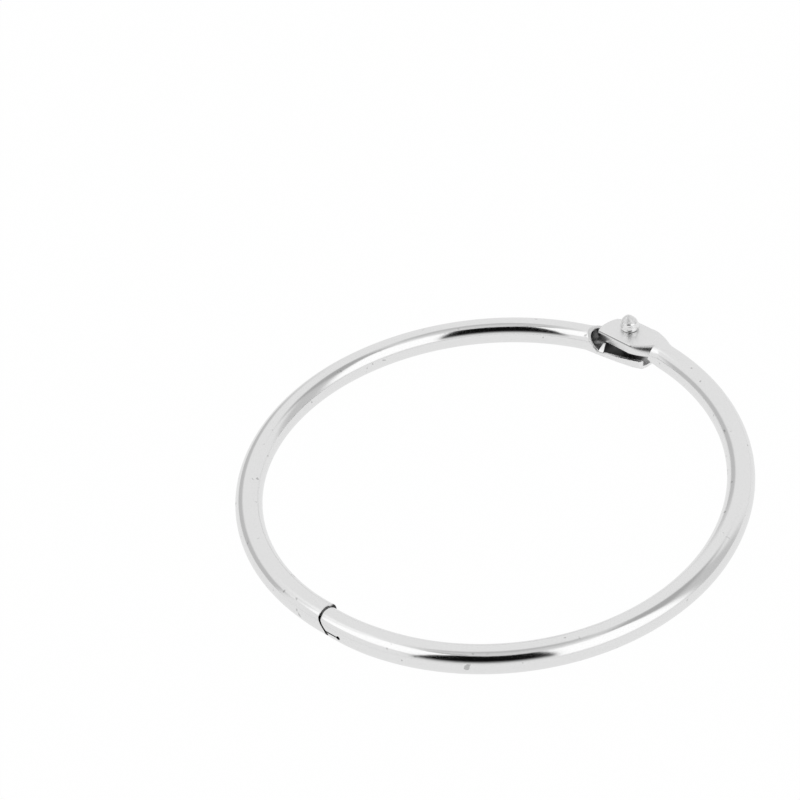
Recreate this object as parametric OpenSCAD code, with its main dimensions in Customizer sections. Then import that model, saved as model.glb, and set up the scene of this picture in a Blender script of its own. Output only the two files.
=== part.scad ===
// Hinged binder ring: two bent halves of rolled steel tube, joined by a rivet at the top
// and closed by a nose on one half that plugs into the open end of the other.
// Millimetres. The ring lies in the XY plane with the tube's middle at z = 0, the hinge on +Y
// and the mouth near -Y. The origin lies on the ring's middle line x = 0, between the bend centres.

/* [Tube] */
// Outside diameter of the tube
tube_d = 4; // [3.6:0.1:4.6]
// Thickness of the sheet that the halves are rolled from
sheet = 0.5; // [0.35:0.05:0.6]

/* [Bend] */
// Bend radius of the socket half away from the hinge, at the tube's centreline
bend_r = 34.8; // [30:0.2:50]
// How much wider than that the plug half is bent
plug_extra = 0.4; // [0.2:0.05:0.6]
// How far the socket half's bend centre lies from the ring's middle line
socket_shift = 1.3; // [0.8:0.1:1.8]
// How far the plug half's bend centre lies from the ring's middle line
plug_shift = 0.7; // [0.4:0.1:1.2]
// How much the socket half's bend radius grows beside the hinge
socket_relax = 2.4; // [1.8:0.1:3]
// How much the plug half's bend radius grows beside the hinge
plug_relax = 4; // [3.4:0.1:4.6]
// Angle above the ring's widest line where the socket half's wider bend begins
socket_relax_from = 19.4; // [10:0.2:30]
// Angle above the ring's widest line where the plug half's wider bend begins
plug_relax_from = 4.2; // [0:0.2:15]

/* [Ears] */
// Distance of the rivet from the ring's middle line, towards the plug half
pin_x = 0.55; // [0.3:0.05:0.8]
// How far the rivet stands outside the plug half's centreline
pin_out = 0.15; // [0:0.05:0.4]
// Distance from the rivet to the outside of the plug half's flange
plug_ear_in = 3.6; // [3.4:0.05:3.8]
// Distance from the rivet to the outside of the socket half's trough wall
socket_ear_in = 4.75; // [4.6:0.05:4.9]
// How far that wall bows out between the tube and the rivet
trough_bow = 0.25; // [0:0.05:0.3]
// How far the plug half's flange bows out there
flange_bow = 0.3; // [0:0.05:0.35]
// Distance from the rivet to the plug half's outer edge
plug_ear_out = 2.2; // [2:0.05:2.4]
// Distance from the rivet to the socket half's outer edge
socket_ear_out = 1.9; // [1.85:0.05:2.1]
// Distance from the rivet to the plug half's free end
plug_ear_end = 4.15; // [4:0.05:4.3]
// Radius of the plug half's ear at its free end
plug_end_r = 5; // [4.8:0.1:5.4]
// Radius of that ear's outer edge
plug_edge_r = 12; // [11:0.5:14]
// Distance from the rivet to the socket half's free end
socket_ear_end = 4.65; // [4.5:0.05:4.8]
// Radius of the socket half's ear at its free end
socket_end_r = 4.8; // [4.6:0.1:5.2]
// Angle of the plug half's ear to the ring's width
plug_ear_turn = 9.6; // [8:0.2:11]
// Angle of the socket half's ear to the ring's width
socket_ear_turn = 11; // [9:0.2:13]
// Bend radius outside the corners of both ears
corner_r = 0.4; // [0.3:0.05:0.6]
// Height of the plug half's flange edge above the tube's middle
flange_z = 0.5; // [0.4:0.05:0.6]
// Gap between the edges of the two ears
ear_gap = 1; // [0.8:0.05:1.2]
// Clearance round the ears as they swing
swing_clear = 0.25; // [0.15:0.05:0.4]
// Width of the rest tab where it leaves the trough's wall
tab_w = 1; // [0.7:0.1:1.2]
// Gap between the rest tab and the flange's edge
tab_gap = 0.15; // [0.1:0.05:0.3]

/* [Rivet] */
// Diameter of the rivet's shank
pin_d = 1.7; // [1.4:0.1:1.9]
// Radial clearance between the shank and the plug half's hole
pin_clear = 0.05; // [0.02:0.01:0.08]
// Diameter of the shoulder that keeps the two ears apart
shoulder_d = 2.6; // [2.3:0.1:2.9]
// Play between the plug half's ear and the rivet's head and shoulder
ear_play = 0.05; // [0.03:0.01:0.1]
// Clearance of the flat seat round the shoulder
seat_clear = 0.05; // [0.03:0.01:0.1]
// Greatest diameter of the rivet's head
head_d = 3; // [2.7:0.05:3.3]
// Height of the rivet's head
head_h = 2.55; // [2.2:0.05:2.8]
// Diameter of the countersink that the rivet's tail is closed into
tail_d = 2.4; // [2.1:0.1:2.6]

/* [Mouth] */
// Distance of the socket's mouth from the ring's middle line
mouth_x = 3.85; // [3:0.05:5]
// Gap between the mouth and the plug half's shoulder
mouth_gap = 0.35; // [0.25:0.05:0.5]
// How much the mouth is belled out
mouth_bell = 0.07; // [0.02:0.01:0.12]
// Length of the bell
bell_l = 5; // [3:0.5:8]
// How far the plug half's tube is swaged in at its shoulder
swage_in = 0.11; // [0.05:0.01:0.2]
// Length over which it is swaged
swage_l = 9; // [6:0.5:12]
// Rounding of the shoulder's edge
shoulder_r = 0.25; // [0.15:0.05:0.35]
// Length of the nose's straight part inside the socket
nose_l = 3.2; // [2.5:0.1:3.6]
// Length of the nose's tapered tip
nose_tip = 1.4; // [0.8:0.1:1.6]
// Radial clearance of the nose in the socket's bore
nose_clear = 0.28; // [0.24:0.01:0.4]
// Width of the relief slot in the nose
slot_w = 0.14; // [0.1:0.02:0.3]
// Length of the relief slot outside the socket
slot_out = 3; // [2:0.25:4]
// Angle of the relief slot below the ring's outer side
slot_a = 20; // [0:1:30]

/* [Hidden] */
$fn = 96;
deg = 180 / PI;
tube_r = tube_d / 2;
bore_r = tube_r - sheet;
pin_r = pin_d / 2;
plug_r = bend_r + plug_extra;
trough_z = flange_z - ear_gap;
// Distance from the middle line at which each tube starts to turn into its ear, and, towards the
// other half where it is negative, ends doing so
plug_joint_x = 8;
socket_joint_x = 5.5;
plug_flat_x = 3;
socket_flat_x = -3;
side_open = 2.6;                // how far from the rivet the ears' outer sides stay open
edge_in = 0.25;                 // how far the plug half's edge arc lies inside its outer side
// Middle of each ear's end radius and of the plug half's edge radius, from the rivet
plug_end = [plug_end_r - plug_ear_end, -2.05];
plug_edge = [1.35, plug_ear_out - edge_in - plug_edge_r];
socket_end = [socket_ear_end - socket_end_r, -1.05];
// Slanted ends, as x from the rivet at the upper and the lower edge: the flange's, and the cut through
// the socket half's tube
flange_slant = 0.55;
flange_cut = [flange_slant - plug_ear_end, -plug_ear_end];
tube_cut = [-5.6, -3.15];
foot_drop = 0.5;                // how far the flange's slant is carried below its edge
flange_foot = flange_cut[1] + (flange_cut[1] - flange_cut[0]) * foot_drop / (bore_r - flange_z);
ear_reach = 6;
plug_reach = 4.4;               // how far each ear is lofted past the middle line before its end is rounded
socket_reach = 6.2;
bend_step = 5;
loft_steps = 10;
ring_points = 28;
head_steps = 15;
undercut = 1.8;                 // height of the lower ellipse, in belly heights
crown = [1.8, 0.9];             // powers that shape the crown
margin = 1;
// Rest tab: where it leaves the trough's wall, how far inside the wall's outer face, how far it leans in
// and along the wall, and its width at the tip
tab_x = 2.95;
tab_seat = 0.08;
tab_foot = 0.12;                // how far the tab's foot reaches down into the wall
tab_lean = 1.1;
tab_side = 0.5;
tab_tip = 0.45;

function mix(a, b, t) = a + (b - a) * t;
function smooth(t) = t * t * (3 - 2 * t);
// Centre of the wider bend beside the hinge, for a half on the +X side
function near_c(shift, relax, from) = [shift - relax * cos(from), -relax * sin(from)];
function on_arc(c, r, a) = [c.x + r * cos(a), c.y + r * sin(a)];
// Angle on an arc at a distance x from the middle line, above the centre
function arc_angle(c, r, x) = acos((x - c.x) / r);

plug_c = near_c(plug_shift, plug_relax, plug_relax_from);
plug_near_r = plug_r + plug_relax;
plug_joint = arc_angle(plug_c, plug_near_r, plug_joint_x);
socket_c = near_c(socket_shift, socket_relax, socket_relax_from);
socket_near_r = bend_r + socket_relax;
socket_joint = arc_angle(socket_c, socket_near_r, socket_joint_x);
pin = [pin_x, plug_c.y + sqrt(pow(plug_near_r, 2) - pow(pin_x - plug_c.x, 2)) + pin_out];
swing_r = socket_end_r + norm(socket_end) + swing_clear;
// Mouth and shoulder, as angles on each half's main bend
mouth_a = -90 + asin((mouth_x - socket_shift) / bend_r);
bell_a = bell_l / bend_r * deg;
shoulder_a = -90 - asin((mouth_x - mouth_gap + plug_shift) / plug_r);
swage_a = swage_l / plug_r * deg;
mouth_c = [-socket_shift - bend_r * cos(mouth_a), bend_r * sin(mouth_a)];
// The nose is bent about the rivet, so it leaves the socket along its own length
nose_arm = norm(mouth_c - pin);
nose_a = atan2(mouth_c.y - pin.y, mouth_c.x - pin.x);
nose_r = bore_r - nose_clear;
tip_share = 0.75;                // radius of the nose's tip as a share of its straight part

// A station of a half is [plan point, outward angle, inner width, outer width, height, corner]
function round_at(p, a, r) = [p, a, r, r, r, r];
// Outline of a station in space, inset for the hollow: a circle, or a box with rounded corners
function outline(s, inset) = let (c = max(s[5] - inset, corner_r / 4)) [
    for (k = [0:ring_points - 1]) let (
        a = (k + 0.5) * 360 / ring_points,
        out = c * cos(a) + (cos(a) > 0 ? s[3] - inset - c : c - s[2] + inset)
    ) [s[0].x + out * cos(s[1]), s[0].y + out * sin(s[1]), c * sin(a) + sign(sin(a)) * (s[4] - inset - c)]
];

// Stations along a bend, without its last
function bend_stations(c, r, from, to) = let (n = ceil((to - from) / bend_step))
    [for (k = [0:n - 1]) let (a = mix(from, to, k / n)) round_at(on_arc(c, r, a), a, tube_r)];

// Both bends of a half, from an angle near the mouth to the joint with its ear
function bends(shift, r, relax, from, joint, start) = concat(
    bend_stations([shift, 0], r, start, from),
    bend_stations(near_c(shift, relax, from), r + relax, from, joint)
);

// Where an ear's middle stands at a distance x from the middle line, for an inner side in from the rivet
function ear_at(rivet, x, a, in) = [x, rivet.y + ((rivet.x - x) * cos(a) - in + tube_r) / sin(a)];

// An ear runs from the round tube at its joint, where t is 0, to a flat-sided box, where t is 1. It is
// [joint's middle, its angle, flat's middle, its angle, outer width, bow of the inner side, sharpening,
// widening]: the inner side bows out halfway, the corners sharpen as t to the power of the sharpening,
// and the outer side is at its full width where t times the widening is 1.
function ear_station(e, t) = let (wide = smooth(min(1, t * e[7]))) [
    mix(e[0], e[2], t), mix(e[1], e[3], smooth(t)), tube_r + e[5] * sin(180 * t), mix(tube_r, e[4], wide),
    tube_r, mix(tube_r, corner_r, pow(t, e[6]))
];
function ear_stations(e, reach) = [
    for (k = [0:loft_steps]) ear_station(e, k / loft_steps),
    [e[2] + (e[2].x + reach) * [-sin(e[3]), cos(e[3])], e[3], tube_r, e[4], tube_r, corner_r]
];

// Wall of sheet between the outside's stations and the hollow's, which are inset by its thickness
module tube_wall(stations, hollow) {
    outer = [for (s = stations) outline(s, 0)];
    inner = [for (s = hollow) outline(s, sheet)];
    n = ring_points;
    m = len(outer) - 1;
    h = len(outer) * n;
    g = len(inner) - 1;
    points = [for (r = concat(outer, inner)) each r];
    faces = [
        for (k = [0:m - 1], i = [0:n - 1]) let (j = (i + 1) % n, a = k * n, b = a + n)
            each [[a + i, a + j, b + j], [a + i, b + j, b + i]],
        for (k = [0:g - 1], i = [0:n - 1]) let (j = (i + 1) % n, a = h + k * n, b = a + n)
            each [[a + j, a + i, b + i], [a + j, b + i, b + j]],
        for (i = [0:n - 1]) let (j = (i + 1) % n, a = m * n, b = h + g * n)
            each [[a + i, a + j, b + j], [a + i, b + j, b + i]],
        for (i = [0:n - 1]) let (j = (i + 1) % n) each [[j, i, h + i], [j, h + i, h + j]]
    ];
    polyhedron(points, faces);
}

// Region beyond a rounded edge, within the half plane that the angle a points into from its middle
module past_arc(middle, r, a, z) {
    translate([pin.x + middle.x, pin.y + middle.y, z]) linear_extrude(tube_d) difference() {
        rotate(a) translate([0, -2 * r]) square([3 * r, 4 * r]);
        circle(r = r);
    }
}

// Prism across the ear from an outline in (x, z), with x from the rivet
module across(pts) {
    translate([pin.x, pin.y + ear_reach, 0]) rotate([90, 0, 0]) linear_extrude(3 * ear_reach) polygon(pts);
}

// Prism through an ear's outer side wall only, from an outline in (x, z) along the ear
module through_side(turn, out, pts) {
    translate([pin.x, pin.y, 0]) rotate([0, 0, turn]) translate([0, ear_reach, 0]) rotate([90, 0, 0])
        linear_extrude(ear_reach - out + sheet + corner_r) polygon(pts);
}

plug_ear_a = 90 - plug_ear_turn;
plug_ear = ear_stations(
    [on_arc(plug_c, plug_near_r, plug_joint), plug_joint, ear_at(pin, plug_flat_x, plug_ear_a, plug_ear_in),
     plug_ear_a, plug_ear_in + plug_ear_out - tube_r, flange_bow, 0.8, 1], plug_reach);
// Swaged end, from the rounded edge of its shoulder to the full tube
swage = concat(
    [for (k = [0:3]) let (a = 90 * (1 - k / 4))
        [shoulder_a + shoulder_r * (1 - sin(a)) / plug_r * deg, tube_r - swage_in - shoulder_r * (1 - cos(a))]],
    [for (k = [0:5]) let (t = k / 6)
        [shoulder_a + mix(shoulder_r / plug_r * deg, swage_a, t), tube_r - swage_in * (1 - smooth(t))]]
);
function swaged(from) = [
    for (s = swage) if (s[0] >= from) round_at(on_arc([plug_shift, 0], plug_r, s[0]), s[0], s[1])
];
// End of the nose behind the shoulder's face, and a sheet's thickness further for the hollow
function nose_end(depth) = let (along = [-sin(shoulder_a), cos(shoulder_a)])
    [round_at(nose_root + depth * along, shoulder_a, nose_r)];
plug_bends = bends(plug_shift, plug_r, plug_relax, plug_relax_from, plug_joint, shoulder_a + swage_a);

// The nose is bent about the rivet up to the plane of the shoulder
shoulder_u = [cos(shoulder_a), sin(shoulder_a)];
pin_to_bend = [plug_shift, 0] - pin;
nose_root = let (w = pin_to_bend * shoulder_u)
    [plug_shift, 0] + (sqrt(w * w - pin_to_bend * pin_to_bend + nose_arm * nose_arm) - w) * shoulder_u;
nose = concat(
    [for (k = [0:3]) let (a = nose_a - (nose_l + nose_tip * (1 - k / 3)) / nose_arm * deg)
        round_at(on_arc(pin, nose_arm, a), a - 360, nose_r * mix(tip_share, 1, sin(30 * k)))],
    [round_at(on_arc(pin, nose_arm, nose_a), nose_a - 360, nose_r)]
);

module plug_half() {
    color("silver") difference() {
        tube_wall(concat(nose, nose_end(0), swaged(-360), plug_bends, plug_ear),
                  concat(nose, nose_end(sheet), swaged(shoulder_a + sheet / plug_r * deg), plug_bends,
                         plug_ear));
        // Underside, cleared for the lower ear
        translate([pin.x, pin.y, flange_z - 2 * tube_d]) cylinder(h = 2 * tube_d, r = swing_r);
        past_arc(plug_end, plug_end_r, 180, tube_r - sheet - corner_r);
        past_arc(plug_edge, plug_edge_r, 180, tube_r - sheet - corner_r);
        across([[flange_foot, -tube_r], [flange_foot, flange_z - foot_drop], [flange_cut[0], bore_r],
                [-3 * ear_reach, bore_r], [-3 * ear_reach, -tube_r]]);
        through_side(-plug_ear_turn, plug_ear_out, [[-2 * ear_reach, bore_r], [side_open, bore_r],
                     [side_open + bore_r - flange_z, flange_z], [side_open + bore_r - flange_z, -tube_r],
                     [-2 * ear_reach, -tube_r]]);
        translate([pin.x, pin.y, 0]) cylinder(h = tube_d, r = pin_r + pin_clear);
        relief_slot();
    }
}

// Slot along the nose that ends in a round hole outside the socket
module relief_slot() {
    end = on_arc([plug_shift, 0], plug_r, shoulder_a);
    inside = nose_l + 2 * nose_tip;
    translate([end.x, end.y, 0]) rotate([0, 0, shoulder_a]) rotate([0, slot_a, 0]) {
        translate([0, -inside, -slot_w / 2]) cube([2 * tube_r, slot_out + inside, slot_w]);
        translate([0, slot_out, 0]) rotate([0, 90, 0]) cylinder(h = 2 * tube_r, r = 1.5 * slot_w);
    }
}

// The socket half is built on +X and mirrored, so here its rivet lies at -pin_x
socket_ear_a = 90 - socket_ear_turn;
socket_ear = [on_arc(socket_c, socket_near_r, socket_joint), socket_joint,
              ear_at([-pin.x, pin.y], socket_flat_x, socket_ear_a, socket_ear_in), socket_ear_a,
              socket_ear_in + socket_ear_out - tube_r, trough_bow, 1.5, 1.5];
socket_stations = concat(
    [for (k = [0:4]) let (t = k / 5, a = mouth_a + bell_a * t)
        round_at(on_arc([socket_shift, 0], bend_r, a), a, tube_r + mouth_bell * (1 - smooth(t)))],
    bends(socket_shift, bend_r, socket_relax, socket_relax_from, socket_joint, mouth_a + bell_a),
    ear_stations(socket_ear, socket_reach)
);

module socket_half() {
    color("silver") {
        difference() {
            mirror([1, 0, 0]) tube_wall(socket_stations, socket_stations);
            // Slanted cut through the tube, and the open top of the trough
            across([[tube_cut[1], trough_z], [tube_cut[0], tube_r], [tube_cut[0] - margin, tube_r + margin],
                    [2 * ear_reach, tube_r + margin], [2 * ear_reach, trough_z]]);
            past_arc(socket_end, socket_end_r, 0, -tube_d + trough_z + margin);
            through_side(socket_ear_turn, socket_ear_out, [[2 * ear_reach, -bore_r], [-side_open, -bore_r],
                         [-side_open - bore_r - trough_z - margin, trough_z + margin],
                         [2 * ear_reach, trough_z + margin]]);
            translate([pin.x, pin.y, -tube_d]) cylinder(h = tube_d, r = pin_r);
            // Flat seat round the hole for the rivet's shoulder
            translate([pin.x, pin.y, -bore_r]) cylinder(h = tube_d, r = shoulder_d / 2 + seat_clear);
            translate([pin.x, pin.y, -tube_r])
                cylinder(h = (tail_d - pin_d) / 2, r1 = tail_d / 2, r2 = pin_r);
        }
        rest_tab();
    }
}

// Tongue of the trough's wall that leans in under the flange's edge, narrowing to its tip
module rest_tab() {
    span = socket_joint_x - socket_flat_x;
    foot = [for (t = [tab_x, tab_x - tab_w]) ear_station(socket_ear, (socket_joint_x - t) / span)];
    out = [cos(foot[0][1]), sin(foot[0][1])];
    base = [for (f = foot) f[0] - (f[2] - tab_seat) * out];
    run = base[1] - base[0];
    tip = base[0] + tab_lean * out + run * tab_side / tab_w;
    edge = [[base[0], trough_z - tab_foot], [base[1], trough_z - tab_foot],
            [tip + run * tab_tip / tab_w, flange_z - tab_gap], [tip, flange_z - tab_gap]];
    points = [for (d = [0, sheet - tab_seat], e = edge) [e[0].x + d * out.x, e[0].y + d * out.y, e[1]]];
    faces = [[0, 1, 2, 3], [7, 6, 5, 4], [1, 0, 4, 5], [2, 1, 5, 6], [3, 2, 6, 7], [0, 3, 7, 4]];
    mirror([1, 0, 0]) polyhedron(points, faces);
}

// Radius of the head at a height above the plate: a quarter ellipse up to the belly, and above it a crown
// that narrows to a point
belly_h = head_h / 5;
function head_r(h) = head_d / 2 * (h < belly_h
    ? sqrt(1 - pow((belly_h - h) / (undercut * belly_h), 2))
    : pow(1 - pow((h - belly_h) / (head_h - belly_h), crown[0]), crown[1]));

// Shank, shoulder, closed tail and crowned head on one axis
module hinge_rivet() {
    color("gainsboro") translate([pin.x, pin.y, 0]) rotate_extrude() union() {
        translate([0, -tube_r]) square([pin_r, tube_d + ear_play]);
        polygon([[0, -tube_r], [tail_d / 2, -tube_r], [pin_r, -tube_r + (tail_d - pin_d) / 2],
                 [0, -tube_r + (tail_d - pin_d) / 2]]);
        translate([0, -bore_r]) square([shoulder_d / 2, 2 * bore_r - ear_play]);
        translate([0, tube_r + ear_play]) polygon(concat(
            [[0, 0]], [for (k = [0:head_steps]) let (h = head_h * k / head_steps) [head_r(h), h]]));
    }
}

socket_half();
plug_half();
hinge_rivet();
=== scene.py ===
import bmesh
import bpy
import numpy as np
from mathutils import Matrix


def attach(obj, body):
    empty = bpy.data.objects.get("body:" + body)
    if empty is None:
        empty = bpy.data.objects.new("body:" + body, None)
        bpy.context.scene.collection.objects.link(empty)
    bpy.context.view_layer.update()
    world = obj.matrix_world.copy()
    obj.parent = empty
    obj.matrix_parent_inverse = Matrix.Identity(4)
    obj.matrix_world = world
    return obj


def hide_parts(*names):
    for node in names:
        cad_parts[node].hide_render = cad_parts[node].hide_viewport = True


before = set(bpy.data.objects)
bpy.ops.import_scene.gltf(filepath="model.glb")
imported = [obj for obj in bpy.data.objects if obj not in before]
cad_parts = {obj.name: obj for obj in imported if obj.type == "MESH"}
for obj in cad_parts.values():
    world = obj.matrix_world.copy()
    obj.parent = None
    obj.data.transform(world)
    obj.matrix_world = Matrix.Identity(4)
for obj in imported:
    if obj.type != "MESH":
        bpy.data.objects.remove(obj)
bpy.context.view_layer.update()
mm = 0.001
deg = 180 / np.pi
scene = bpy.context.scene

# The ring was photographed turned about the vertical; the camera and the panels keep that turn
ringTurn = np.radians(40.6)


# Camera
view = dict(reach=283.43, height=39.07, roll=-7.30, aside=13.69, above=-11.37, forward=0.59,
            sensor=36.0, lens=86.8)


def turnZ(v, a):
    return np.array([v[0] * np.cos(a) - v[1] * np.sin(a), v[0] * np.sin(a) + v[1] * np.cos(a), v[2]])


def placeCamera(view):
    e, w = np.radians(view["height"]), np.radians(view["roll"])
    back, right = np.array([0, -np.cos(e), np.sin(e)]), np.array([1.0, 0, 0])
    up = np.cross(back, right)
    r2, u2 = np.cos(w) * right + np.sin(w) * up, -np.sin(w) * right + np.cos(w) * up
    pos = view["reach"] * back - view["aside"] * r2 - view["above"] * u2
    r2, u2, back, pos = [turnZ(v, ringTurn) for v in (r2, u2, back, pos)]
    pos = pos + np.array([0, view["forward"], 0])
    data = bpy.data.cameras.new("camera")
    data.sensor_width, data.lens, data.clip_start = view["sensor"], view["lens"], 0.001
    cam = bpy.data.objects.new("camera", data)
    cam.matrix_world = Matrix([[*row] + [p] for row, p in zip(np.array([r2, u2, back]).T, pos * mm)]
                              + [[0, 0, 0, 1]])
    scene.collection.objects.link(cam)
    scene.camera = cam


placeCamera(view)
scene.view_settings.view_transform = "Standard"
print("camera placed")


# Colours and shader nodes
def linear(hexColour):
    # sRGB hex to linear light, channel by channel
    c = np.array([int(hexColour[i:i + 2], 16) for i in (1, 3, 5)]) / 255
    return [*np.where(c <= 0.04045, c / 12.92, ((c + 0.055) / 1.055) ** 2.4), 1.0]


def addNode(tree, kind, links=(), **settings):
    # One shader node: settings by attribute or socket name, links as (socket, output)
    node = tree.nodes.new("ShaderNode" + kind)
    for name, value in settings.items():
        if hasattr(node, name):
            setattr(node, name, value)
        else:
            node.inputs[name.replace("_", " ")].default_value = value
    for socket, output in links:
        tree.links.new(output, node.inputs[socket])
    return node


def number(tree, operation, *values):
    # Math node on sockets and plain numbers
    node = addNode(tree, "Math", operation=operation)
    for i, value in enumerate(values):
        if isinstance(value, (int, float)):
            node.inputs[i].default_value = value
        else:
            tree.links.new(value, node.inputs[i])
    return node.outputs[0]


def roundedEdges(tree, radius):
    # Normal that rounds the edges a little, as the tumbled and plated part has them
    return addNode(tree, "Bevel", samples=4, Radius=radius * mm).outputs[0]


def noise(tree, vector, scale, detail, rough):
    return addNode(tree, "TexNoise", [("Vector", vector)], Scale=scale, Detail=detail,
                   Roughness=rough).outputs["Fac"]


def ramp(tree, value, low, high, to0=0.0, to1=1.0):
    # Soft step of a value: to0 at low, to1 at high
    return addNode(tree, "MapRange", [("Value", value)], interpolation_type="SMOOTHSTEP", From_Min=low,
                   From_Max=high, To_Min=to0, To_Max=to1).outputs[0]


def parts(tree, vector):
    # The x, y and z of a vector
    return addNode(tree, "SeparateXYZ", [("Vector", vector)]).outputs


def blend(tree, share, below, colour):
    # Colour mixed over what lies below it, itself a colour or a socket
    node = addNode(tree, "Mix", [("Factor", share)], data_type="RGBA")
    if isinstance(below, bpy.types.NodeSocket):
        tree.links.new(below, node.inputs[6])
    else:
        node.inputs[6].default_value = below
    node.inputs[7].default_value = colour
    return node.outputs[2]


def emptyTree(holder):
    holder.use_nodes = True
    holder.node_tree.nodes.clear()
    return holder.node_tree


# Arithmetic and meshes, with lengths in millimetres
def mix(a, b, t):
    return a + (b - a) * t


def smooth(t):
    t = np.clip(t, 0, 1)
    return t * t * (3 - 2 * t)


def direction(a):
    return np.stack([np.cos(a), np.sin(a)], axis=-1)


def meshObject(name, verts, faces, materials=()):
    # Object made of points in millimetres and of faces, given as a list or an array
    mesh = bpy.data.meshes.new(name)
    faces = faces if isinstance(faces, list) else faces.tolist()
    mesh.from_pydata((np.asarray(verts) * mm).tolist(), [], faces)
    piece = bpy.data.objects.new(name, mesh)
    scene.collection.objects.link(piece)
    for material in materials:
        mesh.materials.append(material)
    return piece


def points(piece):
    # The piece's points in millimetres
    v = np.empty(len(piece.data.vertices) * 3)
    piece.data.vertices.foreach_get("co", v)
    return v.reshape(-1, 3) / mm


def setPoints(piece, v):
    piece.data.vertices.foreach_set("co", (v * mm).ravel())


# Surroundings: a bright tent with a black card over the camera, two white soft boxes and grey flags.
# Each panel is given by azimuth from the camera's side and by elevation, in degrees, with soft edges.
# The four edge values are the widths of the left, right, lower and upper edge. A gain above 1 makes a
# panel brighter than white.
room = dict(upper="#EEEEEE", lower="#E2E2E2", zenith="#C2C2C2", strength=1.0)
panels = [
    dict(name="front ceiling", az=(-112, 85), el=(72, 95), edge=(20, 20, 8, 2), colour="#D6D6D6"),
    dict(name="right flag", az=(74, 106), el=(-22, 48), edge=(16, 16, 14, 10), colour="#CCCCCC"),
    dict(name="upper right flag", az=(68, 128), el=(46, 71), edge=(16, 24, 14, 8), colour="#B2B2B2"),
    dict(name="back flag", az=(-166, -98), el=(-9, 26), edge=(16, 8, 12, 10), colour="#C6C6C6"),
    dict(name="left soft box's wing", az=(-128, -96), el=(48, 67), edge=(14, 8, 10, 6), colour="#FFFFFF"),
    dict(name="left soft box", az=(-100, -40), el=(34, 70.5), edge=(12, 4, 6, 6), colour="#FFFFFF",
         gain=1.15),
    dict(name="right soft box", az=(14.5, 70), el=(8, 62.5), edge=(3, 14, 9, 6), colour="#FFFFFF",
         gain=1.15),
    dict(name="seam over the left box", az=(-74, -40), el=(70.5, 74.5), edge=(14, 4, 2, 4),
         colour="#8E8E8E"),
    dict(name="black card", az=(-42, 14.5), el=(17, 68), edge=(2, 2.5, 30, 4), colour="#080808"),
]


def buildWorld(room, panels):
    # Colour = sky, then each panel mixed over it by the product of four soft steps
    world = bpy.data.worlds.new("studio")
    scene.world = world
    tree = emptyTree(world)
    coord = addNode(tree, "TexCoord")
    turned = addNode(tree, "VectorRotate", [("Vector", coord.outputs["Generated"])],
                     rotation_type="Z_AXIS", Angle=-float(ringTurn))
    x, y, z = parts(tree, turned.outputs[0])
    az = number(tree, "DEGREES", number(tree, "ARCTAN2", x, number(tree, "MULTIPLY", y, -1)))
    el = number(tree, "DEGREES", number(tree, "ARCSINE", z))

    def band(value, limits, widths):
        # 1 between two limits, with a soft edge of its own width at each
        (low, high), (w0, w1) = limits, widths
        return number(tree, "MULTIPLY", ramp(tree, value, low - w0 / 2, low + w0 / 2),
                      ramp(tree, value, high + w1 / 2, high - w1 / 2))

    sky = blend(tree, ramp(tree, el, -2, 6), linear(room["lower"]), linear(room["upper"]))
    sky = blend(tree, ramp(tree, el, 70, 80), sky, linear(room["zenith"]))
    for panel in panels:
        mask = number(tree, "MULTIPLY", band(az, panel["az"], panel["edge"][:2]),
                      band(el, panel["el"], panel["edge"][2:]))
        lamp = [c * panel.get("gain", 1.0) for c in linear(panel["colour"])[:3]] + [1.0]
        sky = blend(tree, mask, sky, lamp)
    lit = addNode(tree, "Background", [("Color", sky)], Strength=room["strength"])
    seen = addNode(tree, "Background", Color=(1, 1, 1, 1), Strength=1.0)
    path = addNode(tree, "LightPath")
    pick = addNode(tree, "MixShader", [(0, path.outputs["Is Camera Ray"]), (1, lit.outputs[0]),
                                       (2, seen.outputs[0])])
    addNode(tree, "OutputWorld", [("Surface", pick.outputs[0])])


buildWorld(room, panels)
print("surroundings built")


# Floor: white card, its own light makes up what the panels leave out, so only a faint shadow stays
floor = dict(size=600.0, height=-2.0, colour="#FFFFFF", seen=1.0, mirrored=0.86, shade=0.012)


def buildFloor(floor):
    h, z = floor["size"] / 2, floor["height"]
    card = meshObject("floor", [(-h, -h, z), (h, -h, z), (h, h, z), (-h, h, z)], [(0, 1, 2, 3)])
    material = bpy.data.materials.new("white matt card")
    tree = emptyTree(material)
    # Mostly its own light, a little less in the metal's reflections, with a small part of matt white
    # that takes the shadow
    path = addNode(tree, "LightPath")
    power = ramp(tree, path.outputs["Is Camera Ray"], 0.0, 1.0, floor["mirrored"], floor["seen"])
    glow = addNode(tree, "Emission", [("Strength", power)], Color=linear(floor["colour"]))
    matt = addNode(tree, "BsdfDiffuse", Color=linear(floor["colour"]))
    both = addNode(tree, "MixShader", [(1, glow.outputs[0]), (2, matt.outputs[0])], Fac=floor["shade"])
    addNode(tree, "OutputMaterial", [("Surface", both.outputs[0])])
    card.data.materials.append(material)


buildFloor(floor)
print("floor laid")


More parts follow.
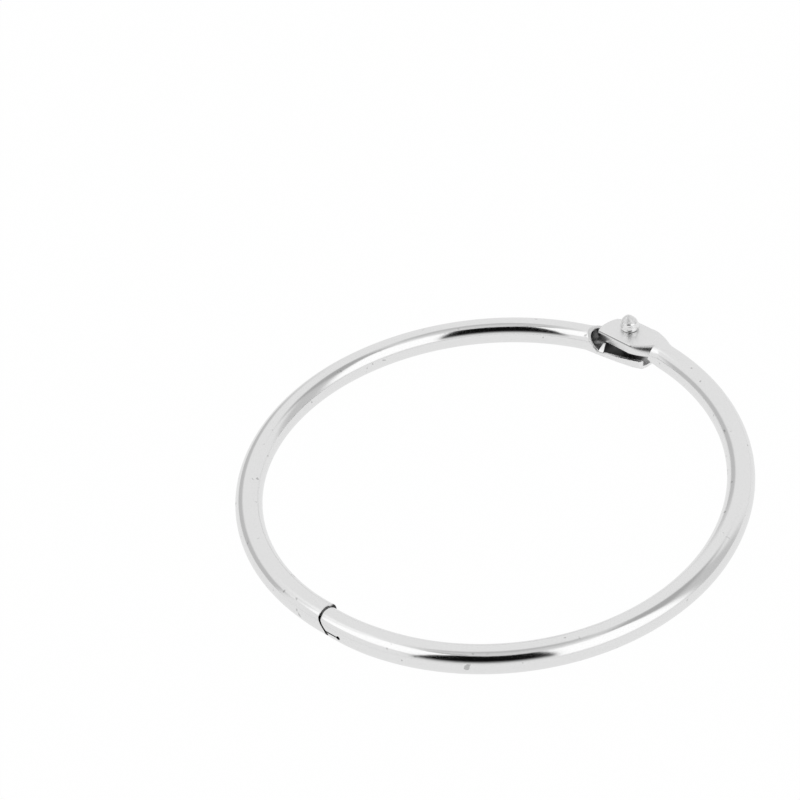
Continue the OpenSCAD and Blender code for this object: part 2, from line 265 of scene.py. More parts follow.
# Outline of the steel halves, worked out along their length and smoother than the solid's facets.
# The pin is the rivet: its place, its shank and its closed tail.
tube = dict(radius=2.0, wall=0.5, around=88)
bend = dict(radius=34.8, plugExtra=0.4, socketShift=1.3, plugShift=0.7, socketRelax=2.4, plugRelax=4.0,
            socketFrom=19.4, plugFrom=4.2)
ears = dict(corner=0.4, plugJoint=8.0, socketJoint=5.5, plugFlat=3.0, socketFlat=-3.0,
            plugIn=3.6, plugOut=2.2, plugTurn=9.6, socketIn=4.75, socketOut=1.9, socketTurn=11.0)
mouth = dict(x=3.85, gap=0.35, bell=0.07, bellLength=5.0, swage=0.11, swageLength=9.0, edge=0.25,
             nose=3.2, tip=1.4, noseRadius=1.22, tipShare=0.75)
pin = dict(x=0.55, out=0.15, shank=0.85, tail=1.2)
bore = tube["radius"] - tube["wall"]


def nearCentre(shift, relax, start):
    return np.array([shift - relax * np.cos(np.radians(start)), -relax * np.sin(np.radians(start))])


plugRadius = bend["radius"] + bend["plugExtra"]
plugCentre = nearCentre(bend["plugShift"], bend["plugRelax"], bend["plugFrom"])
socketCentre = nearCentre(bend["socketShift"], bend["socketRelax"], bend["socketFrom"])
rivet = np.array([pin["x"], plugCentre[1] + pin["out"]
                  + np.sqrt((plugRadius + bend["plugRelax"]) ** 2 - (pin["x"] - plugCentre[0]) ** 2)])
# Angle of the mouth in the socket half's own bend, in degrees
mouthAngle = -90 + np.arcsin((mouth["x"] - bend["socketShift"]) / bend["radius"]) * deg


def arcRows(centre, radius, start, stop, step):
    # Rows of stations along an arc: middle, outward angle, inner and outer half width, height, corner
    a = np.radians(np.linspace(start, stop, max(2, int(np.ceil(abs(stop - start) / step)) + 1)))
    r = np.full(len(a), tube["radius"])
    return np.column_stack([np.asarray(centre) + radius * direction(a), a, r, r, r, r])


def earRows(joint, jointAngle, pivot, flatX, turn, inWidth, outWidth, bow, sharpen, widen, reach, count,
            centre=None, kinkX=None):
    # The round tube turns into a box with flat sides: widths and corner radius blend along the way,
    # and the box then runs straight on. Where kinkX is given, the bend goes on to it first.
    angle = np.radians(90 - turn)
    flatY = pivot[1] + ((pivot[0] - flatX) * np.cos(angle) - inWidth + tube["radius"]) / np.sin(angle)
    flat, r = np.array([flatX, flatY]), tube["radius"]
    t = np.linspace(0, 1, count)
    x = mix(joint[0], flat[0], t)
    u, swell = t, bow * np.sin(np.pi * t)
    y, a = mix(joint[1], flat[1], t), mix(jointAngle, angle, smooth(t))
    if kinkX is not None:
        radius = np.hypot(*(joint - centre))
        arc = np.arccos(np.clip((x - centre[0]) / radius, -1, 1))
        kinkAngle = np.arccos((kinkX - centre[0]) / radius)
        kink = centre + radius * direction(kinkAngle)
        u = np.clip((kinkX - x) / (kinkX - flatX), 0, 1)
        y = np.where(u > 0, mix(kink[1], flat[1], u), centre[1] + radius * np.sin(arc))
        a = np.where(u > 0, mix(kinkAngle, angle, smooth(u)), arc)
        swell = swell * smooth((joint[0] - x) / (joint[0] - kinkX))
    rows = np.column_stack([x, y, a, r + swell, mix(r, inWidth + outWidth - r, smooth(t * widen)),
                            np.full(count, r), mix(r, ears["corner"], u ** sharpen)])
    s = np.linspace(0, 1, 14)[1:]
    along = np.array([-np.sin(angle), np.cos(angle)])
    straight = np.tile(rows[-1], (len(s), 1))
    straight[:, :2] = flat + np.outer(s * (flatX + reach), along)
    return np.vstack([rows, straight])


def jointOn(centre, radius, x):
    # Point and angle at which an arc reaches a given x
    a = np.arccos((x - centre[0]) / radius)
    return np.asarray(centre) + radius * direction(a), a


def halfRows(shift, radius, relax, start, joint, first):
    # Both bends of a half: the main one and the wider one beside the hinge
    near = nearCentre(shift, relax, start)
    return np.vstack([arcRows([shift, 0], radius, first, start, 1.0)[:-1],
                      arcRows(near, radius + relax, start, joint, 1.0)[:-1]])


def outlinePoints(rows, inset):
    # Points round each station, the same number on each: every quarter has a corner arc and half of two
    # flats, and the flats take up to a quarter of its points each as the corner gets sharper
    a = (np.arange(tube["around"]) + 0.5)[None] * 2 * np.pi / tube["around"]
    u = np.arctan2(np.abs(np.sin(a)), np.abs(np.cos(a))) * 2 / np.pi
    flat = 0.25 * (tube["radius"] - rows[:, 6:7]) / (tube["radius"] - ears["corner"])
    flat = np.clip(flat, 1e-9, 0.25)
    turn = np.pi / 2 * np.clip((u - flat) / (1 - 2 * flat), 0, 1)
    sideC = np.sign(np.cos(a)) * np.clip((1 - u) / flat, 0, 1)
    sideS = np.sign(np.sin(a)) * np.clip(u / flat, 0, 1)
    c = np.maximum(rows[:, 6:7] - inset, 0.1)
    inner, outer, high = rows[:, 3:4] - inset, rows[:, 4:5] - inset, rows[:, 5:6] - inset
    out = (outer - inner) / 2 + ((outer + inner) / 2 - c) * sideC + c * np.cos(turn) * np.sign(np.cos(a))
    z = (high - c) * sideS + c * np.sin(turn) * np.sign(np.sin(a))
    x = rows[:, 0:1] + out * np.cos(rows[:, 2:3])
    y = rows[:, 1:2] + out * np.sin(rows[:, 2:3])
    return np.stack([x, y, z], axis=-1)


def ringFaces(count, around, start=0, flip=False):
    # Quads between neighbouring rows of points, closed round the outline
    k, i = np.meshgrid(np.arange(count - 1), np.arange(around), indexing="ij")
    j, a = (i + 1) % around, start + k * around
    quads = np.stack([a + i, a + j, a + around + j, a + around + i], axis=-1).reshape(-1, 4)
    return quads[:, ::-1] if flip else quads


def wallMesh(name, outerRows, innerRows, materials, mirror=False):
    # Sheet metal tube: outer skin, inner skin and the two ring-shaped ends between them
    outer, inner = outlinePoints(outerRows, 0), outlinePoints(innerRows, tube["wall"])
    n, m, g = tube["around"], len(outer), len(inner)
    i = np.arange(n)
    j, base = (i + 1) % n, m * n
    first = np.stack([j, i, base + i, base + j], axis=-1)
    last = np.stack([(m - 1) * n + i, (m - 1) * n + j, base + (g - 1) * n + j, base + (g - 1) * n + i],
                    axis=-1)
    verts = np.concatenate([outer.reshape(-1, 3), inner.reshape(-1, 3)])
    faces = np.concatenate([ringFaces(m, n), ringFaces(g, n, base, True), first, last])
    kind = np.concatenate([np.zeros((m - 1) * n), np.ones((g - 1) * n), np.full(2 * n, 2)]).astype(int)
    if mirror:
        verts[:, 0] *= -1
        faces = faces[:, ::-1]
    piece = meshObject(name, verts, faces, materials)
    piece.data.polygons.foreach_set("material_index", kind)
    return piece


# Cutters: prisms and cylinders that take away what the press tool cuts off
def about(axis, turn):
    return Matrix.Rotation(np.radians(turn), 4, axis)


def prism(outline, low, high, axis="z"):
    # Closed prism over an outline: in the plan between two heights, or in (x, z) between two y. All its
    # faces leave cut edges.
    p = np.asarray(outline, dtype=float)
    area = np.sum(p[:, 0] * np.roll(p[:, 1], -1) - np.roll(p[:, 0], -1) * p[:, 1])
    p = p if area > 0 else p[::-1]
    n = len(p)
    lo, hi = np.full((n, 1), low), np.full((n, 1), high)
    if axis == "z":
        verts = np.vstack([np.hstack([p, lo]), np.hstack([p, hi])])
    else:
        verts = np.vstack([np.column_stack([p[:, 0], y, p[:, 1]]) for y in (hi, lo)])
    i = np.arange(n)
    j = (i + 1) % n
    sides = np.stack([i, j, j + n, i + n], axis=-1).tolist()
    piece = meshObject("cutter", verts, [i[::-1].tolist(), (i + n).tolist()] + sides, steels)
    piece.data.polygons.foreach_set("material_index", np.full(n + 2, len(steels) - 1))
    return piece


def circle(middle, radius, count, start=0.0, stop=360.0):
    a = np.radians(np.linspace(start, stop, count, endpoint=stop - start < 360))
    return np.asarray(middle) + radius * direction(a)


def pastArc(middle, radius, side, low, high):
    # What lies beyond a rounded edge on one side (+1 or -1 along x) of its middle
    centre, reach = rivet + middle, radius + 9.0
    arc = circle(centre, radius, 220, -90, 90) if side > 0 else circle(centre, radius, 220, 270, 90)
    far, top, bottom = centre[0] + side * reach, centre[1] + reach, centre[1] - reach
    box = [(centre[0], top), (far, top), (far, bottom), (centre[0], bottom)]
    return prism(np.vstack([arc, box]), low, high)


def across(outline):
    # Prism through both side walls of an ear, its outline in x from the rivet and in height
    return prism([(rivet[0] + x, z) for x, z in outline], rivet[1] - 12, rivet[1] + 6, "y")


def throughSide(turn, out, outline):
    # Prism through the outer side wall of an ear, turned with the ear about the rivet
    piece = prism(outline, out - 0.9, 6.0, "y")
    v, c, s = points(piece), np.cos(np.radians(turn)), np.sin(np.radians(turn))
    v[:, :2] = rivet + np.column_stack([c * v[:, 0] - s * v[:, 1], s * v[:, 0] + c * v[:, 1]])
    setPoints(piece, v)
    return piece


def disc(radius, low, high, count):
    # Round hole about the rivet
    return prism(circle(rivet, radius, count), low, high)


def finishPiece(piece, cutters, rim):
    # Takes the cutters away, breaks the cut edges with a small bevel and shades by angle
    angle = 32.0
    for cutter in cutters:
        cut = piece.modifiers.new("cut", "BOOLEAN")
        cut.operation, cut.solver, cut.object = "DIFFERENCE", "MANIFOLD", cutter
    settle(piece)
    for cutter in cutters:
        bpy.data.objects.remove(cutter)
    if rim:
        edge = piece.modifiers.new("broken edge", "BEVEL")
        edge.width, edge.segments, edge.limit_method = rim * mm, 2, "ANGLE"
        edge.angle_limit, edge.use_clamp_overlap, edge.harden_normals = np.radians(angle), True, False
        settle(piece)
    shadeByAngle(piece, angle)


def settle(piece):
    # Keeps what the modifiers make as the piece's own mesh
    shown = piece.evaluated_get(bpy.context.evaluated_depsgraph_get())
    made = bpy.data.meshes.new_from_object(shown)
    piece.modifiers.clear()
    piece.data = made
    made.name = piece.name


def shadeByAngle(piece, angle):
    # Smooth shading that breaks at edges sharper than the angle
    work = bmesh.new()
    work.from_mesh(piece.data)
    bmesh.ops.remove_doubles(work, verts=work.verts, dist=0.0005 * mm)
    bmesh.ops.dissolve_degenerate(work, edges=work.edges, dist=0.0005 * mm)
    for face in work.faces:
        face.smooth = True
    for line in work.edges:
        line.smooth = len(line.link_faces) == 2 and line.calc_face_angle(0) < np.radians(angle)
    work.to_mesh(piece.data)
    work.free()


def faceOutwards(piece):
    # Merges points that lie together and turns every face outwards
    work = bmesh.new()
    work.from_mesh(piece.data)
    bmesh.ops.remove_doubles(work, verts=work.verts, dist=0.001 * mm)
    bmesh.ops.dissolve_degenerate(work, edges=work.edges, dist=0.0005 * mm)
    bmesh.ops.recalc_face_normals(work, faces=work.faces)
    work.to_mesh(piece.data)
    work.free()


# Materials
def metalTree(name, look):
    # Start of a metal: a principled shader with its output, and the place on the object in millimetres
    material = bpy.data.materials.new(name)
    tree = emptyTree(material)
    metal = addNode(tree, "BsdfPrincipled", Metallic=1.0, Roughness=look["rough"])
    metal.inputs["Base Color"].default_value = linear(look["colour"])
    addNode(tree, "OutputMaterial", [("Surface", metal.outputs[0])])
    coord = addNode(tree, "TexCoord")
    place = addNode(tree, "VectorMath", [(0, coord.outputs["Object"])], operation="SCALE", Scale=1 / mm)
    return material, tree, metal, place.outputs[0]


def finishMetal(tree, metal, look, cloud, height, more=None):
    # Roughness = rough + haze * cloud, and more where a metal has it; bump = the height in millimetres,
    # over rounded edges where the look has them
    rough = number(tree, "ADD", number(tree, "MULTIPLY", cloud, look["haze"]), look["rough"])
    if more is not None:
        rough = number(tree, "ADD", rough, more)
    tree.links.new(rough, metal.inputs["Roughness"])
    base = [("Normal", roundedEdges(tree, look["edge"]))] if "edge" in look else []
    bump = addNode(tree, "Bump", [("Height", height)] + base, Strength=1.0, Distance=mm)
    tree.links.new(bump.outputs[0], metal.inputs["Normal"])


def stretched(tree, place, along, across):
    # Coordinates drawn out along the ring: angle times the bend radius, distance from the ring's
    # middle circle, and height. The angle starts at the mouth, where the tube is parted.
    parting, middle = np.radians(-83.9), 35.0
    turned = addNode(tree, "VectorRotate", [("Vector", place)], rotation_type="Z_AXIS",
                     Angle=float(parting))
    x, y, z = parts(tree, turned.outputs[0])
    angle = number(tree, "ARCTAN2", y, x)
    radial = number(tree, "SQRT", number(tree, "ADD", number(tree, "MULTIPLY", x, x),
                                         number(tree, "MULTIPLY", y, y)))
    out = addNode(tree, "CombineXYZ", [("X", number(tree, "MULTIPLY", angle, middle * along)),
                                       ("Y", number(tree, "MULTIPLY", radial, across)),
                                       ("Z", number(tree, "MULTIPLY", z, across))])
    return out.outputs[0]


# fold and the keys after it: strength and place of the painted shade line along the upper ear's fold
plating = dict(colour="#F1F1F1", rough=0.085, haze=0.05, satin=0.22, satinFrom=7.5, lines=0.0010,
               waves=0.006, speck="#6E6E6E", specks=0.45, grain=0.10, edge=0.12,
               fold=0.75, foldTurn=80.4, foldIn=3.46, foldZ=1.87, foldEnds=(-4.4, 3.4))


def nickelPlatedRolledSteel(look):
    # Reads as bright plated steel that was rolled and formed: mirror-like along the tube, with faint
    # drawn lines along it, a slow waviness of the reflections, and a satin zone round the rivet.
    # Colour = mix(colour, speck, largest of specks * spots + grain * fine noise, and fold * painted shade
    # line along the fold).
    # Roughness = rough + haze * cloud + satin * nearness to the rivet; bump = lines + waves
    material, tree, metal, place = metalTree("nickel-plated rolled steel", look)
    drawn = noise(tree, stretched(tree, place, 0.10, 5.0), 1.0, 4.0, 0.6)
    cloud = noise(tree, stretched(tree, place, 0.35, 1.1), 1.0, 3.0, 0.55)
    flat = addNode(tree, "VectorMath", [(0, place)], operation="SUBTRACT")
    flat.inputs[1].default_value = (float(rivet[0]), float(rivet[1]), 1.0)
    away = addNode(tree, "VectorMath", [(0, flat.outputs[0])], operation="LENGTH").outputs["Value"]
    near = ramp(tree, away, look["satinFrom"] * 0.55, look["satinFrom"], look["satin"], 0.0)
    # Painted shade: a dark line along the upper ear's fold, in place of the dark reflection in its
    # crease.
    # It lies near the fold's distance from the rivet and its height, between its ends
    fold = np.radians(look["foldTurn"])
    rim = float(rivet @ direction(fold)) - look["foldIn"]
    dot = addNode(tree, "VectorMath", [(0, place)], operation="DOT_PRODUCT")
    dot.inputs[1].default_value = (float(np.cos(fold)), float(np.sin(fold)), 0.0)
    x, y, z = parts(tree, place)
    off = number(tree, "ABSOLUTE", number(tree, "SUBTRACT", dot.outputs["Value"], rim))
    up = number(tree, "ABSOLUTE", number(tree, "SUBTRACT", z, look["foldZ"]))
    foldShade = number(tree, "MULTIPLY", ramp(tree, off, 0.10, 0.16, look["fold"], 0.0),
                    ramp(tree, up, 0.045, 0.085, 1.0, 0.0))
    for end, inwards in zip(look["foldEnds"], (0.2, -0.2)):
        end = float(rivet[0]) + end
        foldShade = number(tree, "MULTIPLY", foldShade, ramp(tree, x, end - inwards, end + inwards))
    spots = ramp(tree, noise(tree, place, 0.9, 2.0, 0.4), 0.70, 0.76, 0.0, look["specks"])
    grain = ramp(tree, noise(tree, place, 7.0, 2.0, 0.7), 0.40, 0.75, 0.0, look["grain"])
    # Real specks and grain, together with the painted shade line along the fold
    specksAndFoldShade = number(tree, "MAXIMUM", number(tree, "ADD", spots, grain), foldShade)
    tree.links.new(blend(tree, specksAndFoldShade, linear(look["colour"]), linear(look["speck"])),
                   metal.inputs["Base Color"])
    height = number(tree, "ADD", number(tree, "MULTIPLY", drawn, look["lines"]),
                    number(tree, "MULTIPLY", cloud, look["waves"]))
    finishMetal(tree, metal, look, cloud, height, near)
    return material


# colour: painted shade of the tube's inside; mouth: lighter colour painted near the hinge's openings,
# where light gets in
inside = dict(colour="#4A4A4A", mouth="#C9C9C9", rough=0.30, haze=0.12, lines=0.004, left=-3.5, right=3.0,
              fade=0.9)


def dullInsideWithPaintedShade(look):
    # The tube's inside: the same plating, thin and dull, over steel that was never polished. Its dark
    # colour is painted shade, and it is painted lighter where the hinge's openings let light in: colour =
    # mix(colour, mouth, share), where share = 1 beyond left or right of the rivet, with a soft edge of
    # the width fade.
    # Roughness = rough + haze * cloud; bump = lines along the tube
    material, tree, metal, place = metalTree("dull plated inside of the tube with painted shade", look)
    x, y, z = parts(tree, place)
    left, right = float(rivet[0]) + look["left"], float(rivet[0]) + look["right"]
    share = number(tree, "ADD", ramp(tree, x, left, left - look["fade"]),
                   ramp(tree, x, right, right + look["fade"]))
    tree.links.new(blend(tree, share, linear(look["colour"]), linear(look["mouth"])),
                   metal.inputs["Base Color"])
    cloud = noise(tree, stretched(tree, place, 0.5, 2.0), 1.0, 3.0, 0.6)
    drawn = noise(tree, stretched(tree, place, 0.2, 7.0), 1.0, 3.0, 0.6)
    finishMetal(tree, metal, look, cloud, number(tree, "MULTIPLY", drawn, look["lines"]))
    return material


# mouth: painted shade on the cut edges at the mouth, where the gap between the halves lies in shadow
sheared = dict(colour="#F4F4F4", mouth="#2E2E2E", rough=0.22, haze=0.10, lines=0.003, edge=0.2)


def shearedEdge(look):
    # Cut edges of the sheet: plated over, with the fine upright marks of the press tool, and painted dark
    # at the mouth as shade of the gap between the halves: colour = mix(colour, mouth, share), where share
    # = 1 on the mouth's side below the tube's top.
    # Roughness = rough + haze * cloud; bump = short noise
    material, tree, metal, place = metalTree("sheared and plated steel edge", look)
    x, y, z = parts(tree, place)
    share = number(tree, "MULTIPLY", ramp(tree, y, -20.0, -24.0), ramp(tree, z, 1.75, 1.05))
    tree.links.new(blend(tree, share, linear(look["colour"]), linear(look["mouth"])),
                   metal.inputs["Base Color"])
    cloud, marks = noise(tree, place, 1.6, 3.0, 0.6), noise(tree, place, 9.0, 2.0, 0.5)
    finishMetal(tree, metal, look, cloud, number(tree, "MULTIPLY", marks, look["lines"]))
    return material


riveted = dict(colour="#F1F1F1", rough=0.09, haze=0.08, dents=0.028, peened=0.44, peenedFrom=3.5)


def coldHeadedSteel(look):
    # The rivet's head: bright and slightly dented on its collar, dull on the cap that was peened.
    # Roughness = rough + haze * cloud + peened above a height; bump = two sizes of shallow dents
    material, tree, metal, place = metalTree("plated cold-headed steel", look)
    x, y, z = parts(tree, place)
    dull = ramp(tree, z, look["peenedFrom"], look["peenedFrom"] + 0.15, 0.0, look["peened"])
    dents = number(tree, "ADD", noise(tree, place, 1.1, 1.0, 0.4),
                   number(tree, "MULTIPLY", noise(tree, place, 4.0, 2.0, 0.5), 0.15))
    finishMetal(tree, metal, look, noise(tree, place, 1.4, 3.0, 0.55),
                number(tree, "MULTIPLY", dents, look["dents"]), dull)
    return material


steels = [nickelPlatedRolledSteel(plating), dullInsideWithPaintedShade(inside), shearedEdge(sheared)]
headSteel = coldHeadedSteel(riveted)
print("materials made")


# Plug half: nose, shoulder, swaged end, two bends and the upper ear
plugShape = dict(endMiddle=(0.85, -2.05), endRadius=5.0, end=4.15, slant=0.55,
                 edgeMiddle=(1.35, -10.05), edgeRadius=12.0, hole=0.9, flange=0.5, swing=6.11, reach=4.4,
                 bow=0.3, rim=0.11, runFrom=4.25, runTo=8.4, runLow=-2.1, kink=6.3, sideOpen=2.6,
                 slotWidth=0.22, slotOut=3.7, slotTurn=-5.0, slotHole=0.3)
# The mouth's edge reaches further along the tube on its lower outer side, and the shoulder follows it.
# The lengths are in millimetres, start to end are angles round the tube.
tongue = dict(length=1.3, lag=0.3, close=0.16, fade=4.5, start=48.0, full=-10.0, back=-70.0, end=-150.0)


def drawOut(piece, middle, radius, edge, sign, length, close=0.0):
    # Moves the points near an end along the bend, most at the end itself. The move depends on the angle
    # round the tube: backwards by close on top, forwards by length on the lower outer side.
    v = points(piece)
    off = v[:, :2] - middle
    a, far = np.arctan2(off[:, 1], off[:, 0]), np.linalg.norm(off, axis=1) - radius
    away = (((a - np.radians(edge)) * sign + np.pi) % (2 * np.pi) - np.pi) * radius
    turn = np.arctan2(v[:, 2], far) * deg
    rise = smooth((tongue["start"] - turn) / (tongue["start"] - tongue["full"]))
    fall = smooth((turn - tongue["end"]) / (tongue["back"] - tongue["end"]))
    move = length * rise * fall - close * smooth((turn - 40) / 50)
    move *= smooth(1 - np.clip(away, 0, None) / tongue["fade"]) * (away > -0.02) * (away < tongue["fade"])
    v[:, :2] = middle + (radius + far)[:, None] * direction(a + move / radius)
    setPoints(piece, v)


def buildPlugHalf(shape):
    plugC = np.array([bend["plugShift"], 0.0])
    shoulder = -90 - np.arcsin((mouth["x"] - mouth["gap"] + bend["plugShift"]) / plugRadius) * deg
    mouthC = bend["radius"] * direction(np.radians(mouthAngle)) + (bend["socketShift"], 0)
    mouthC[0] *= -1
    arm = np.linalg.norm(mouthC - rivet)
    noseA = np.arctan2(*(mouthC - rivet)[::-1]) * deg
    u = direction(np.radians(shoulder))
    w = (plugC - rivet) @ u
    root = plugC + (np.sqrt(w * w - (plugC - rivet) @ (plugC - rivet) + arm * arm) - w) * u

    def row(point, a, r):
        return [point[0], point[1], a, r, r, r, r]

    # Nose, about the rivet: rounded tip, straight part, then back to the shoulder's face
    t = np.linspace(0, 1, 10)
    r = mouth["noseRadius"] * mix(mouth["tipShare"], 1, np.sin(np.pi / 2 * t))
    a = np.radians(noseA - (mouth["nose"] + mouth["tip"] * (1 - t)) / arm * deg)
    nose = [row(rivet + arm * direction(q), q, s) for q, s in zip(a, r)]
    nose += [row(rivet + arm * direction(np.radians(noseA)), np.radians(noseA), mouth["noseRadius"])]
    along = np.array([-u[1], u[0]])
    # Swage: the shoulder's rounded edge, then a slow rise to the full tube
    q, t = np.radians(90 * (1 - np.linspace(0, 1, 9)[:-1])), np.linspace(0, 1, 15)[:-1]
    sa = shoulder + np.concatenate([mouth["edge"] * (1 - np.sin(q)),
                                    mix(mouth["edge"], mouth["swageLength"], t)]) / plugRadius * deg
    sr = tube["radius"] - np.concatenate([mouth["swage"] + mouth["edge"] * (1 - np.cos(q)),
                                          mouth["swage"] * (1 - smooth(t))])
    swage = np.array([row(plugC + plugRadius * direction(np.radians(v)), np.radians(v), s)
                      for v, s in zip(sa, sr)])
    joint, jointA = jointOn(plugCentre, plugRadius + bend["plugRelax"], ears["plugJoint"])
    bends = halfRows(bend["plugShift"], plugRadius, bend["plugRelax"], bend["plugFrom"], jointA * deg,
                     shoulder + mouth["swageLength"] / plugRadius * deg)
    ear = earRows(joint, jointA, rivet, ears["plugFlat"], ears["plugTurn"], ears["plugIn"],
                  ears["plugOut"], shape["bow"], 0.8, 1.0, shape["reach"], 61, plugCentre, shape["kink"])
    face = [row(root, np.radians(shoulder), mouth["noseRadius"])]
    back = [row(root + tube["wall"] * along, np.radians(shoulder), mouth["noseRadius"])]
    inner = swage[sa >= shoulder + tube["wall"] / plugRadius * deg]
    piece = wallMesh("plug_half_skin", np.vstack([nose, face, swage, bends, ear]),
                     np.vstack([nose, back, inner, bends, ear]), steels)
    drawOut(piece, plugC, plugRadius, shoulder, 1, tongue["length"] + tongue["lag"], tongue["close"])
    # The ear: swing room under it, its rounded end and edge, the flange's slanted end, the run-out of
    # the tube under it, its open outer side and the rivet's hole
    f, top, side = shape["flange"], shape["slant"] - shape["end"], shape["sideOpen"]
    foot = -shape["end"] - shape["slant"] * 0.5 / (bore - f)
    cutters = [
        disc(shape["swing"], f - 8, f, 240),
        pastArc(shape["endMiddle"], shape["endRadius"], -1, 1.1, 5.1),
        pastArc(shape["edgeMiddle"], shape["edgeRadius"], -1, 1.1, 5.1),
        across([(foot, -2.5), (foot, f - 0.5), (top, bore), (-18, bore), (-18, -2.5)]),
        across([(shape["runFrom"], f), (shape["runTo"], shape["runLow"]),
                (shape["runFrom"], shape["runLow"])]),
        throughSide(-ears["plugTurn"], ears["plugOut"],
                    [(-12, bore), (side, bore), (side + 1, f), (side + 1, -2.5), (-12, -2.5)]),
        disc(shape["hole"], 0.0, 4.0, 96),
    ]
    # Relief slot of the swaged end, with its round hole
    turn = Matrix.Translation((*(plugC + plugRadius * u) * mm, 0)) @ about("Z", shoulder) \
        @ about("Y", shape["slotTurn"])
    long, out, w = mouth["nose"] + 2 * mouth["tip"], shape["slotOut"], shape["slotWidth"]
    slot = prism([(0, -long), (4, -long), (4, out), (0, out)], -w / 2, w / 2)
    slot.data.transform(turn)
    hole = prism(circle((0, 0), shape["slotHole"], 24), 0.0, 4.0)
    hole.data.transform(turn @ Matrix.Translation((0, out * mm, 0)) @ about("Y", 90))
    finishPiece(piece, cutters + [slot, hole], shape["rim"])
    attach(piece, "plug_side")
    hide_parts("plug_half")


buildPlugHalf(plugShape)
print("plug half built")


# Socket half: belled mouth, two bends, and the lower ear as an open trough with its rest tab
socketShape = dict(endMiddle=(0.2, -1.25), endRadius=4.74, seat=1.35, rimZ=-0.5, cut=(-3.15, -5.6),
                   reach=6.2, bow=0.25, rim=0.11, sideOpen=-2.6,
                   tabX=2.95, tabWidth=1.0, tabSeat=0.08, tabFoot=0.12, tabLean=1.1, tabSide=0.5,
                   tabTip=0.45, tabTop=0.35)


def buildSocketHalf(shape):
    rim, side, (cutLow, cutHigh) = shape["rimZ"], shape["sideOpen"], shape["cut"]
    bellA = mouth["bellLength"] / bend["radius"] * deg
    t = np.linspace(0, 1, 12)[:-1]
    bell = arcRows([bend["socketShift"], 0], bend["radius"], mouthAngle, mouthAngle + bellA, bellA / 11)
    bell = bell[:len(t)]
    bell[:, 3:7] = (tube["radius"] + mouth["bell"] * (1 - smooth(t)))[:, None]
    joint, jointA = jointOn(socketCentre, bend["radius"] + bend["socketRelax"], ears["socketJoint"])
    bends = halfRows(bend["socketShift"], bend["radius"], bend["socketRelax"], bend["socketFrom"],
                     jointA * deg, mouthAngle + bellA)
    earArgs = (joint, jointA, rivet * (-1, 1), ears["socketFlat"], ears["socketTurn"], ears["socketIn"],
               ears["socketOut"], shape["bow"], 1.5, 1.5, shape["reach"])
    rows = np.vstack([bell, bends, earRows(*earArgs, 46)])
    piece = wallMesh("socket_half_skin", rows, rows, steels, mirror=True)
    drawOut(piece, np.array([-bend["socketShift"], 0.0]), bend["radius"], 180 - mouthAngle, -1,
            tongue["length"])
    # The ear: the slanted cut through the tube with the trough's rim, the rounded end, the open outer
    # side, the rivet's hole and the flat seat round its shoulder
    cutters = [
        across([(cutLow, rim), (cutHigh, 2.0), (cutHigh - 1, 3.0), (16, 3.0), (16, rim)]),
        pastArc(shape["endMiddle"], shape["endRadius"], 1, -3.5, 0.5),
        throughSide(ears["socketTurn"], ears["socketOut"],
                    [(12, -bore), (side, -bore), (side - 2, 0.5), (12, 0.5)]),
        disc(pin["shank"], -4.0, 0.0, 96),
        disc(shape["seat"], -bore, 2.5, 120),
    ]
    # Countersink that the rivet's tail fills
    cone = prism(circle(rivet, 1.0, 96), -2.001, -tube["radius"] + pin["tail"] - pin["shank"])
    v = points(cone)
    width = np.where(np.arange(len(v)) < len(v) // 2, pin["tail"], pin["shank"])[:, None]
    v[:, :2] = rivet + (v[:, :2] - rivet) * width
    setPoints(cone, v)
    # Rest tab: a tongue of the trough's wall that leans in under the flange, joined to the wall
    fine, tabEnds = earRows(*earArgs, 851)[:851], (shape["tabX"], shape["tabX"] - shape["tabWidth"])
    feet = [fine[np.argmin(np.abs(fine[:, 0] - x))] for x in tabEnds]
    out = direction(feet[0][2])
    base = [f[:2] - (f[3] - shape["tabSeat"]) * out for f in feet]
    run = (base[1] - base[0]) / shape["tabWidth"]
    tip, foot = base[0] + shape["tabLean"] * out + run * shape["tabSide"], rim - shape["tabFoot"]
    edge = [(*base[0], foot), (*base[1], foot), (*(tip + run * shape["tabTip"]), shape["tabTop"]),
            (*tip, shape["tabTop"])]
    thick = tube["wall"] - shape["tabSeat"]
    verts = np.array([np.array(e) + (*(d * out), 0) for d in (0, thick) for e in edge]) * (-1, 1, 1)
    tab = meshObject("tab", verts, [(0, 1, 2, 3), (7, 6, 5, 4), (1, 0, 4, 5), (2, 1, 5, 6), (3, 2, 6, 7),
                                    (0, 3, 7, 4)], steels)
    faceOutwards(tab)
    finishPiece(piece, cutters + [cone], 0)
    both = piece.modifiers.new("tab", "BOOLEAN")
    both.operation, both.solver, both.object = "UNION", "MANIFOLD", tab
    finishPiece(piece, [], shape["rim"])
    bpy.data.objects.remove(tab)
    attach(piece, "socket_side")
    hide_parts("socket_half")


buildSocketHalf(socketShape)
print("socket half built")


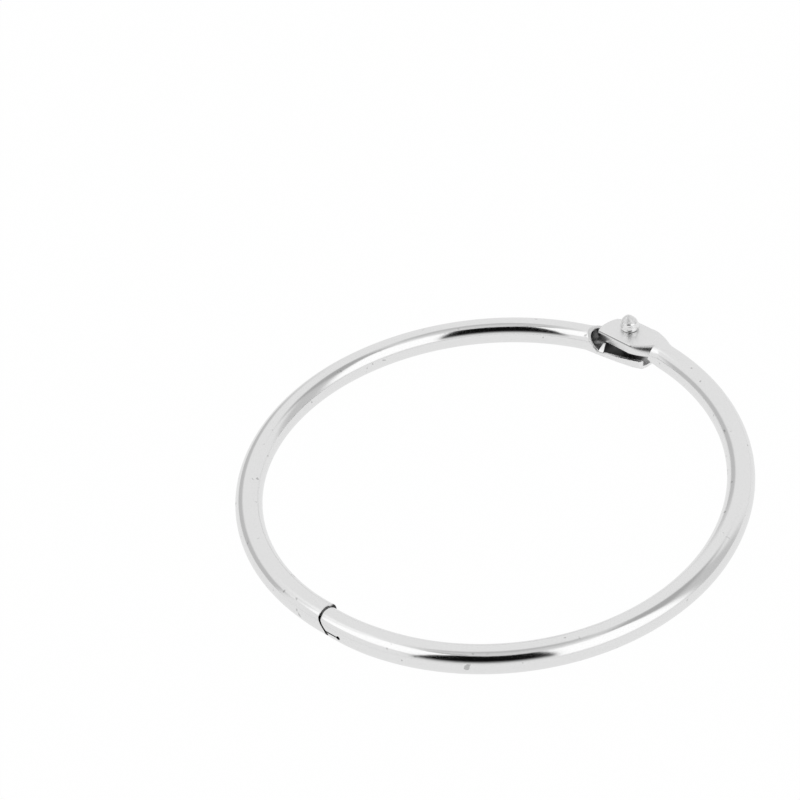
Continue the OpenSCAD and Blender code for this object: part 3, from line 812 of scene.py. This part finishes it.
# Rivet: closed tail, shank, shoulder and a crowned head that leans a little, all one turned piece.
# The head's outline is given as (height, radius) from the plate up: a collar, a slight waist and a cap
rivetShape = dict(shoulder=1.3, play=0.05, broken=0.03, height=2.55,
                  outline=((0.0, 1.26), (0.2, 1.44), (0.42, 1.5), (0.62, 1.485), (0.82, 1.41),
                           (0.98, 1.355), (1.2, 1.32), (1.42, 1.25), (1.58, 1.12), (1.76, 0.99),
                           (1.96, 0.82), (2.16, 0.62), (2.36, 0.375), (2.47, 0.2), (2.53, 0.08),
                           (2.55, 0.0)),
                  lean=(-0.24, -0.12), around=120, steps=110)


def curveThrough(knots, given, at):
    # Cubic curve through given points at their knots, with the slope of each point's two neighbours
    slope = np.gradient(given, knots, axis=0)
    i = np.clip(np.searchsorted(knots, at, side="right") - 1, 0, len(knots) - 2)
    width = (knots[i + 1] - knots[i])[:, None]
    t = (at - knots[i])[:, None] / width
    return ((2 * t ** 3 - 3 * t ** 2 + 1) * given[i] + (t ** 3 - 2 * t ** 2 + t) * width * slope[i]
            + (3 * t ** 2 - 2 * t ** 3) * given[i + 1] + (t ** 3 - t ** 2) * width * slope[i + 1])


def buildRivet(shape):
    low, top, under = -tube["radius"], tube["radius"] + shape["play"], bore - shape["play"]
    given = np.array(shape["outline"])
    # Smooth curve through the outline's points, by their running length
    run = np.concatenate([[0], np.cumsum(np.linalg.norm(np.diff(given, axis=0), axis=1))])
    head = curveThrough(run, given, np.linspace(0, run[-1], shape["steps"]))[:, ::-1] + (0, top)
    # Tail, shank and shoulder as (radius, height), from below
    tail, shank, wide, b = pin["tail"], pin["shank"], shape["shoulder"], shape["broken"]
    stem = np.array([(0, low), (tail - 0.02, low), (tail, low + 0.02), (shank, low + tail - shank),
                     (shank, -bore), (wide - b, -bore), (wide, b - bore), (wide, under - b),
                     (wide - b, under), (shank, under), (shank, top)])
    line = np.vstack([stem, head])
    a = np.arange(shape["around"]) * 2 * np.pi / shape["around"]
    lean = (np.clip((line[:, 1] - top) / shape["height"], 0, 1) ** 1.4)[:, None] * shape["lean"]
    plan = rivet + line[:, None, :1] * direction(a) + lean[:, None]
    verts = np.dstack([plan, np.repeat(line[:, 1:2], len(a), axis=1)])
    piece = meshObject("hinge_rivet_turned", verts.reshape(-1, 3), ringFaces(len(line), len(a)),
                       [headSteel])
    faceOutwards(piece)
    shadeByAngle(piece, 34)
    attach(piece, "socket_side")
    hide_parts("hinge_rivet")


buildRivet(rivetShape)
print("rivet built")
